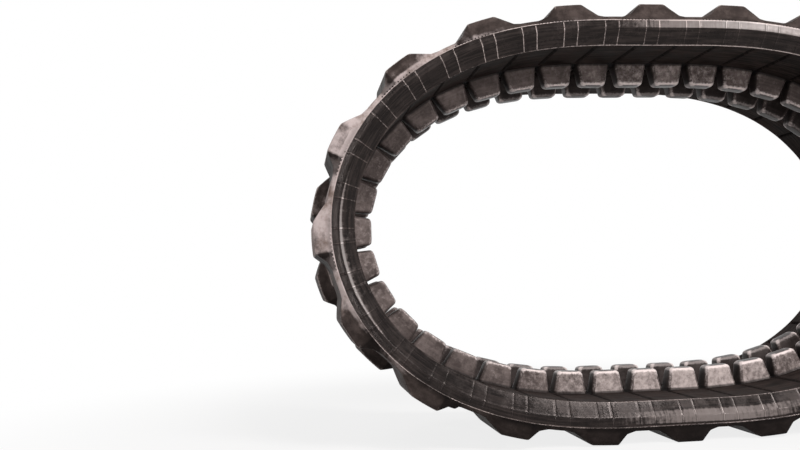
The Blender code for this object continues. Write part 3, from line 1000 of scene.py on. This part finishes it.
@dataclass
class BandPaint:
    """Shares of dust, scuffs and painted highlights, abraded edges and painted highlights, and painted shade
    on a band of the belt's skin.

    The bands say on which links each of them lies, and the rest is by the place in the section.
    """

    belt: TrackBelt
    side: Side
    along: Array
    lug: Array
    inward: Array
    tongue: bool
    strip_dust = LinkBand(28.6, 3.9)
    left_dust = LinkBand(29.3, 1.8, 0.72)
    upper_dust = LinkBand(25.6, 2.6, 0.2)
    far_dust: float = 0.3
    least_dust: Pair = (0.15, 0.10)
    strip_fade: Pair = (17.0, 5.0)
    # Links of the painted highlights on the side face and its chamfer, some over scuffs.
    face_highlight = LinkBand(17.7, 3.1, 0.86)
    low_scuff_and_highlight = LinkBand(1.0, 3.0, 0.56)
    left_scuff_and_highlight = LinkBand(33.8, 2.6, 0.22)
    chamfer_highlight = LinkBand(31.0, 3.2, 0.26)
    corner_highlight = LinkBand(30.8, 1.6, 1.5)
    # Heights of the painted highlight line along the corner.
    corner_heights: tuple[float, ...] = (-5.5, -4.6, -3.6, -2.7, -1.3, 1.8)
    corner_shares: tuple[float, ...] = (0.0, 0.4, 1.0, 1.0, 0.12, 0.0)
    least_scuff: float = 0.22
    face_top: float = -4.8
    low_face: Pair = (-13.0, 2.5)
    chamfer_foot: float = -2.0
    upper_lines = LinkBand(23.0, 3.6, 0.68)
    left_lines = LinkBand(28.5, 3.4, 0.3)
    line_range: Pair = (0.12, 0.8)
    # Links where the inner edge's pale line, partly painted highlight, shows.
    upper_corner = LinkBand(18.0, 6.5)
    low_corner = LinkBand(1.0, 5.5, 0.62)
    low_rim = LinkBand(-1.0, 6.0, 0.4)
    corner_foot: float = 12.0
    lug_wear: float = 0.62
    # Painted shade on the steep flanks around the left turn and on the bottom run's tread.
    left_shade = LinkBand(28.5, 7.0, 0.7)
    low_shade = LinkBand(0.5, 7.5, 0.85)
    darkest: float = 0.92

    def __post_init__(self) -> None:
        """Works out what more than one of the shares needs."""
        link = self.along / self.belt.path.pitch
        self.link = link
        self.seam = self.belt.seam_share(self.along)
        profile = LugProfile(self.belt.path.pitch)
        self.steep = profile.steep(self.along, self.side)
        self.plateau_edge = profile.crest(self.along, self.side)
        self.ridge = np.clip(self.seam * 2.0 - 0.6, 0.0, 1.0) * self.belt.section.ridged
        least, most = self.line_range
        # How pale the mould lines' crests are by link, partly painted highlight; where it is low, painted
        # shade darkens them.
        self.drawn = np.minimum(least + self.upper_lines.at(link) + self.left_lines.at(link), most)

    def dust(self) -> Array:
        """Dust on the strip beside the lugs, on their gentle sides and a little everywhere."""
        link, part = self.link, self.belt.section
        full, over = self.strip_fade
        outer = (part.rim | part.strip) * (1.0 - smoothstep((-self.inward / MM - full) / over) * self.lug)
        tread = self.left_dust.at(link) * (1.0 - self.steep)
        tread = tread + self.upper_dust.at(link) * (1.0 - 0.8 * self.steep)
        tread = tread * (1.0 if self.side is Side.NEAR else self.far_dust) + self.least_dust[0]
        return self.strip_dust.at(link) * outer + tread * part.tread + self.least_dust[1] * part.inner

    def scuff_and_highlight(self) -> Array:
        """Painted highlights on the side face, its chamfer and the corner between them, some over scuffs."""
        link, height = self.link, self.belt.section.height
        corner = np.interp(height, self.corner_heights, self.corner_shares)
        low, high = self.low_face
        scuff_and_highlight = (self.face_highlight.at(link) + self.left_scuff_and_highlight.at(link)) * (height < self.face_top)
        scuff_and_highlight = scuff_and_highlight + self.low_scuff_and_highlight.at(link) * ((height < high) & (height > low))
        scuff_and_highlight = scuff_and_highlight + self.chamfer_highlight.at(link) * (height > self.chamfer_foot)
        return self.belt.section.edge * (scuff_and_highlight + self.corner_highlight.at(link) * corner + self.least_scuff)

    def wear(self) -> Array:
        """Abraded edges and painted highlights: pale lines on the section's edges and mould crests, partly
        painted highlight, and abraded lug plateau edges.
        """
        link, part = self.link, self.belt.section
        corner = np.maximum(self.upper_corner.at(link), self.low_corner.at(link))
        at_corner = part.edge & (part.height > self.corner_foot)
        # The inner edge's pale line shows on the links of the corner bands; the rim's pale line is dimmer on
        # the bottom run.
        kept = np.where(at_corner, 0.05 + 0.9 * corner, 1.0 - self.low_rim.at(link))
        worn_and_highlit = (part.wear[:, 0] + (part.wear[:, 1] - part.wear[:, 0]) * self.lug) * kept
        lug = self.lug_wear * self.plateau_edge * (part.raised[:, 1] < -30.0 * MM)
        return np.maximum(np.maximum(worn_and_highlit, self.drawn * self.ridge), lug)

    def crease(self) -> Array:
        """Painted shade at the mould lines, grooves, guide rows, lug feet, steep flanks, bottom run's tread
        and slit.
        """
        link, part = self.link, self.belt.section
        # Painted shade beside the mould lines, and on their crests where they are not drawn pale.
        dark = 0.9 * smoothstep(1.5 - np.abs(self.seam - 0.1) * 8.0) * part.ridged
        dark = np.maximum(dark, self.ridge * (0.9 - 1.8 * self.drawn))
        soft = 1.0 - smoothstep(self.belt.from_gap(self.along) / 3.0)
        valley = self.belt.groove_share(self.along) * part.groove
        # Painted shade at each gap and between the two rows of guide lugs.
        valley = valley + part.inner * (0.55 * soft + 1.3 * (part.plain[:, 0] < 49.0 * MM))
        rims = part.strip | (part.rim & (part.height > -17.5))
        flank = part.tread * (self.steep * self.left_shade.at(link) + self.low_shade.at(link))
        shade = dark + 0.5 * valley + flank + 0.3 * rims * smoothstep(self.lug * 2.0 - 1.0)
        # The tongue in the open joint's slit is all painted shade.
        return np.clip(shade + 0.8 * self.tongue, 0.0, self.darkest)

    def values(self) -> dict[str, Array]:
        """The shares and the belt's own two measures, by the names that the finishes read."""
        shares = {"dust": self.dust(), "scuff_and_highlight": self.scuff_and_highlight(), "wear": self.wear(), "crease": self.crease()}
        return shares | {"run": self.along, "round": self.belt.section.around}


@dataclass
class WoundCords:
    """The two bands of wound steel cord inside the belt, with a ridge for each cord."""

    path: LoopPath
    kit: FinishKit
    low: float = 53.0 * MM
    high: float = 103.0 * MM
    cords: int = 14
    cord_radius: float = 1.3 * MM
    step: float = 5.25 * MM
    open_half: float = 0.5 * MM

    def section(self) -> tuple[Array, Array]:
        """Outline of a band: a row of half circles above and the same row below."""
        turn = np.linspace(0.0, self.cords * np.pi, self.cords * 4 + 1)
        across = np.linspace(self.low, self.high, len(turn))
        height = self.cord_radius * (0.35 + 0.65 * np.abs(np.sin(turn)))
        return np.concatenate([across, across[::-1]]), np.concatenate([height, -height[::-1]])

    def piece(self, name: str, start: float, end: float, finish: bpy.types.Material) -> bpy.types.Object:
        """Builds both bands between two places of the loop."""
        across, height = self.section()
        along = np.linspace(start, end, int((end - start) / self.step) + 2)[:, None]
        along = np.broadcast_to(along, (len(along), len(across)))
        mesh = GridMesh()
        for side in Side:
            points = self.path.place(along, side.value * across, height)
            mesh.add_grid(points, {}, flipped=side is Side.NEAR)
        piece = mesh.build(name, [finish])
        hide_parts("cord_winding_near", "cord_winding_far")
        return piece

    def make(self) -> None:
        """Builds the bands of each joint's neighbourhood, shaped along the loop's bends as the belt is."""
        finish = CORD_STEEL.make(self.kit)
        for span in SPANS:
            start, border, end = span.places(self.path.pitch)
            before, after = span.before.body, span.after.body
            if span.is_open():
                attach(self.piece(f"cords_end_{before}", start, border - self.open_half, finish), before)
                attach(self.piece(f"cords_end_{after}", border + self.open_half, end, finish), after)
            else:
                span.blend(self.piece(f"cords_{before}_to_{after}", start, end, finish), self.path)


@dataclass
class LinkPieces:
    """Pieces that ride on the links, gathered into one object for each body."""

    path: LoopPath
    kit: FinishKit

    def add(self, mesh: GridMesh, link: int, side: Side) -> None:
        """Adds one link's pieces in one half of the belt to a mesh."""
        raise NotImplementedError

    def make(self, name: str, finish: RubberFinish, crease: float) -> None:
        """Builds the pieces of each body as one object that rides on it.

        Args:
            name: Start of the objects' names.
            finish: Finish of the pieces.
            crease: Angle in degrees from which an edge is sharp.
        """
        material = finish.make(self.kit)
        for stretch in STRETCHES:
            mesh = GridMesh()
            for link in stretch.links():
                for side in Side:
                    self.add(mesh, link, side)
            piece = mesh.build(f"{name}_{stretch.body}", [material], crease)
            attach(piece, stretch.body)


@dataclass
class GuideLugs(LinkPieces):
    """The two rows of guide lugs: rounded blocks that taper to the tip over a flared root."""

    row: float = 32.0 * MM
    root: float = 14.0 * MM
    tip: float = 42.5 * MM
    root_half: Pair = (22.3 * MM, 13.8 * MM)
    tip_half: Pair = (16.9 * MM, 10.6 * MM)
    corner: float = 5.0 * MM
    least_flat: float = 0.4 * MM
    arc_points: int = 6
    levels: tuple[tuple[float, float, float], ...] = (
        (8.0, 0.6, 0.0), (13.4, 0.6, 0.0), (14.3, 0.5, 0.0), (15.6, 0.2, 0.0), (17.6, 0.05, 0.0),
        (20.0, 0.0, 0.0), (26.0, 0.0, 0.0), (32.0, 0.0, 0.05), (37.6, 0.0, 0.25), (39.3, -0.15, 0.6),
        (40.5, -0.6, 0.95), (41.5, -1.45, 1.0), (42.2, -2.7, 0.7), (42.5, -4.4, 0.25), (42.5, -9.0, 0.0),
    )
    left_dust = LinkBand(30.0, 6.0, 0.12)
    least_dust: float = 0.1
    # Links where the guide fronts get painted light and the tips a stronger painted highlight.
    lower_light = LinkBand(1.0, 5.5, 0.72)
    upper_light = LinkBand(19.0, 5.0, 0.56)
    left_light = LinkBand(30.0, 5.0, 0.46)

    def add(self, mesh: GridMesh, link: int, side: Side) -> None:
        """Adds one guide lug.

        Each level is a rectangle with round corners: its half sizes run evenly from root to
        tip and are widened or narrowed by the level's own amount.

        Args:
            mesh: The mesh that the lug goes into.
            link: Number of its link.
            side: Its row.
        """
        height, spread, wear = (np.array(column)[:, None] for column in zip(*self.levels))
        share = np.clip((height * MM - self.root) / (self.tip - self.root), 0.0, 1.0)
        long_half, wide_half = (
            root + (tip - root) * share + spread * MM for root, tip in zip(self.root_half, self.tip_half)
        )
        turn, sign_x, sign_y = round_corners(self.arc_points)
        corner = np.minimum(self.corner, np.minimum(long_half, wide_half) - self.least_flat)
        along = sign_x * (long_half - corner) + corner * np.cos(turn)
        across = sign_y * (wide_half - corner) + corner * np.sin(turn)
        points = self.path.place_rigid(link, along, side.value * self.row + across, height * MM)
        at_corner = np.abs(np.sin(2 * (turn % (np.pi / 2))))
        front = (side.value * np.sin(turn) > 0.85) * (share < 0.97)
        lower, upper = self.lower_light.at(link), self.upper_light.at(link)
        # Pale tips and corners: abraded edges and painted highlight, brighter on the links of the light
        # bands.
        worn_and_highlit = np.clip(wear + 0.4 * at_corner * (share > 0.1), 0.0, 1.0) * (0.45 + 0.9 * (lower + upper))
        # Painted shade on every side but the front, less at the corners.
        shaded = 0.7 * (1.0 - front) * (1.0 - 0.8 * at_corner * (share < 0.99))
        # The fronts get painted light from the bands; the root gets painted shade.
        values = {
            "dust": self.least_dust + self.left_dust.at(link),
            "scuff_and_highlight": (lower + upper + self.left_light.at(link)) * front,
            "wear": worn_and_highlit,
            "crease": np.maximum(0.85 * (share < 0.06), shaded),
            "run": link * self.path.pitch + along,
            "round": height * MM,
        }
        mesh.add_grid(points, values)


@dataclass
class HoleBridges(LinkPieces):
    """The rubber between two drive holes, one rounded bar across the middle of each link."""

    half_length: float = 12.95
    half_width: float = 18.6
    low: float = -20.0
    high: float = 14.0
    rounding: float = 2.6
    arc_points: int = 5
    rows: int = 9
    flare: float = 0.9
    left_dust = LinkBand(29.0, 4.6, 0.5)
    least_dust: float = 0.2
    least_wear: float = 0.2

    def add(self, mesh: GridMesh, link: int, side: Side) -> None:
        """Adds one bar, with the near half, that reaches over both halves.

        A bar's section is a rectangle with round corners, carried across the track.

        Args:
            mesh: The mesh that the bar goes into.
            link: Number of its link.
            side: The half.
        """
        if side is Side.FAR:
            return
        turn, sign_x, sign_y = round_corners(self.arc_points)
        along = sign_x * (self.half_length - self.rounding) + self.rounding * np.cos(turn)
        flat = (self.high - self.low) / 2 - self.rounding
        inward = (self.low + self.high) / 2 + sign_y * flat + self.rounding * np.sin(turn)
        across = np.linspace(-self.half_width, self.half_width, self.rows)[:, None]
        flare = self.flare * (np.abs(across) / self.half_width) ** 4
        spread = (along + np.sign(along) * flare) * MM
        tall = np.broadcast_to(inward, spread.shape) * MM
        points = self.path.place_rigid(link, spread, across * MM, tall)
        dusty = self.least_dust + self.left_dust.at(link) * (tall < -15.0 * MM)
        values = {"dust": dusty, "scuff_and_highlight": 0.0, "wear": self.least_wear, "crease": 0.0}
        mesh.add_grid(points, values, flipped=True)


@dataclass
class PartingBeads(LinkPieces):
    """The row of small beads that the mould leaves on the parting line beside each lug."""

    first: float = 7.35
    spacing: float = 4.2
    beads: int = 11
    size: tuple[float, float, float] = (1.1, 0.95, 1.25)
    middle: Pair = (149.0, -15.6)
    around: int = 8
    levels: int = 4
    top: float = 0.94
    left_dust = LinkBand(29.5, 3.6, 0.85)

    def add(self, mesh: GridMesh, link: int, side: Side) -> None:
        """Adds the beads that stand on one link: flattened half balls on a side face.

        A row starts on the link that has the lug and runs on over the next one.

        Args:
            mesh: The mesh that the beads go into.
            link: Number of the link.
            side: The side face.
        """
        turn = np.linspace(0.0, 2 * np.pi, self.around, endpoint=False)[None, :]
        rise = np.linspace(0.0, self.top * np.pi / 2, self.levels)[:, None]
        round_x = self.size[0] * np.cos(rise) * np.cos(turn)
        round_z = self.size[2] * np.cos(rise) * np.sin(turn)
        across = side.value * (self.middle[0] + self.size[1] * np.sin(rise) * np.ones_like(turn)) * MM
        inward = (self.middle[1] + round_z) * MM
        owner = link if (link % 2 == 0) is (side is Side.NEAR) else link - 1
        row = (owner - link) * self.path.pitch / MM + self.first + np.arange(self.beads) * self.spacing
        values = {"dust": self.left_dust.at(link), "scuff_and_highlight": 0.0, "wear": 0.0, "crease": 0.0}
        for place in row[np.abs(row) < self.path.pitch / MM / 2]:
            along = link * self.path.pitch + (place + round_x) * MM
            mesh.add_grid(self.path.place(along, across, inward), values, flipped=side is Side.FAR)


@dataclass
class SteelCores:
    """The forged cores, which stay as solids and get their finish here."""

    kit: FinishKit

    def dress(self) -> None:
        """Gives every core the forged finish."""
        finish = CORE_STEEL.make(self.kit)
        for name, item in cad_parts.items():
            if name.startswith("steel_core"):
                item.data.materials.clear()
                item.data.materials.append(finish)


@dataclass(frozen=True)
class SoftLamp:
    """A rectangular soft lamp: its place, the point that it faces, its size and its watts."""

    name: str
    place: Point
    aim: Point
    size: Pair
    power: float
    colour: Colour = (1.0, 0.975, 0.965)

    def make(self) -> None:
        """Adds the lamp, with its upper edge level."""
        data = bpy.data.lights.new(self.name, "AREA")
        data.shape = "RECTANGLE"
        data.size, data.size_y = self.size
        data.energy = self.power
        data.color = self.colour
        back = np.array(self.place) - np.array(self.aim)
        back = back / np.linalg.norm(back)
        right = np.cross([0.0, 0.0, 1.0], back)
        right = right / np.linalg.norm(right)
        lamp = add_object(self.name, data)
        lamp.matrix_world = axes_matrix(right, np.cross(back, right), back, self.place)


STUDIO_LAMPS = (
    SoftLamp("key_lamp", (0.5, -1.8, 2.1), (0.0, 0.0, 0.3), (0.8, 0.8), 58.0),
    SoftLamp("gloss_lamp", (1.4, -1.9, 1.0), (0.0, 0.0, 0.35), (0.5, 0.2), 16.0),
    SoftLamp("tall_lamp", (-0.26, -2.05, 0.45), (-0.4, 0.0, 0.28), (0.06, 0.8), 3.0),
    SoftLamp("fill_lamp", (-2.2, -1.3, 1.0), (-0.2, 0.0, 0.3), (0.8, 0.8), 12.0),
    SoftLamp("rim_lamp", (-1.0, 2.2, 1.9), (0.0, 0.0, 0.3), (1.2, 1.2), 22.0),
)


@dataclass
class Studio:
    """Pale floor, white surroundings, soft lamps and the camera at the photograph's place."""

    camera_place: Point = (-0.4591, -1.1739, 0.1985)
    yaw: float = 6.857
    pitch: float = 4.023
    roll: float = -1.770
    focal_pixels: float = 874.4
    picture_width: float = 800.0
    sensor: float = 36.0
    clip: Pair = (0.01, 100.0)
    white: Colour = (1.0, 1.0, 1.0)
    soft_light: Colour = (1.0, 0.985, 0.97)
    soft_strength: float = 0.18
    floor_reach: float = 12.0
    floor_level: float = -0.1 * MM
    floor_grey: Colour = (0.62, 0.615, 0.61)
    floor_white: float = 0.82
    white_ring: Pair = (0.45, 1.15)

    def seen_share(self, chart: NodeChart) -> Socket:
        """1 for rays of the camera and for mirrored or passed-through ones, 0 for the rest."""
        rays = chart.node("ShaderNodeLightPath").outputs
        first = chart.math("MAXIMUM", rays["Is Camera Ray"], rays["Is Glossy Ray"])
        return chart.math("MAXIMUM", first, rays["Is Transmission Ray"])

    def world(self) -> None:
        """White where it is seen, and a soft grey light everywhere else."""
        world = bpy.data.worlds.new("studio_world")
        bpy.context.scene.world = world
        chart = NodeChart.of(world)
        soft = chart.node("ShaderNodeBackground", {"Color": self.soft_light, "Strength": self.soft_strength})
        white = chart.node("ShaderNodeBackground", {"Color": self.white, "Strength": 1.0})
        chart.close(chart.mix_shaders(self.seen_share(chart), soft, white), "ShaderNodeOutputWorld")

    def floor(self) -> None:
        """A flat floor that is white where it is seen and keeps the track's shadow around its foot.

        The lit share falls from its full value to nothing with the distance from the middle.
        """
        mesh = bpy.data.meshes.new("studio_floor")
        reach = self.floor_reach
        corners = [(-reach, -reach), (reach, -reach), (reach, reach), (-reach, reach)]
        mesh.from_pydata([(x, y, self.floor_level) for x, y in corners], [], [(0, 1, 2, 3)])
        item = add_object("studio_floor", mesh)
        material = bpy.data.materials.new("pale_floor")
        chart = NodeChart.of(material)
        matte = chart.node("ShaderNodeBsdfDiffuse", {"Color": self.floor_grey})
        glow = chart.node("ShaderNodeEmission", {"Color": self.white, "Strength": 1.0})
        far = chart.node("ShaderNodeVectorMath", {0: chart.object_place()}, operation="LENGTH")
        ring = chart.ramp(far.outputs["Value"], *self.white_ring)
        white = chart.scaled(ring, 1.0 - self.floor_white, self.floor_white)
        chart.close(chart.mix_shaders(chart.math("MULTIPLY", self.seen_share(chart), white), matte, glow))
        mesh.materials.append(material)

    def camera(self) -> None:
        """The camera, turned by yaw, then pitch, then roll, with the fitted focal length."""
        yaw, pitch, roll = np.radians([self.yaw, self.pitch, self.roll])
        forward = np.array([np.sin(yaw) * np.cos(pitch), np.cos(yaw) * np.cos(pitch), np.sin(pitch)])
        level = np.array([np.cos(yaw), -np.sin(yaw), 0.0])
        upright = np.cross(level, forward)
        right = np.cos(roll) * level + np.sin(roll) * upright
        top = np.cos(roll) * upright - np.sin(roll) * level
        data = bpy.data.cameras.new("photo_camera")
        data.sensor_width = self.sensor
        data.lens = self.focal_pixels / self.picture_width * self.sensor
        data.clip_start, data.clip_end = self.clip
        item = add_object("photo_camera", data)
        item.matrix_world = axes_matrix(right, top, -forward, self.camera_place)
        bpy.context.scene.camera = item

    def make(self) -> None:
        """Sets the view transform and builds the whole studio."""
        bpy.context.scene.view_settings.view_transform = "Standard"
        self.world()
        self.floor()
        for lamp in STUDIO_LAMPS:
            lamp.make()
        self.camera()


def main() -> None:
    """Builds the sub-assemblies in order."""
    logging.basicConfig(level=logging.INFO, format="%(name)s: %(message)s")
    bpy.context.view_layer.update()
    Studio().make()
    path = LoopPath()
    kit = FinishKit()
    TrackBelt(path, kit).make()
    WoundCords(path, kit).make()
    GuideLugs(path, kit).make("guide_lugs", LUG_RUBBER, 50.0)
    HoleBridges(path, kit).make("hole_bridges", BRIDGE_RUBBER, 40.0)
    PartingBeads(path, kit).make("parting_beads", BEAD_RUBBER, 60.0)
    SteelCores(kit).dress()


if __name__ == "__main__":
    main()
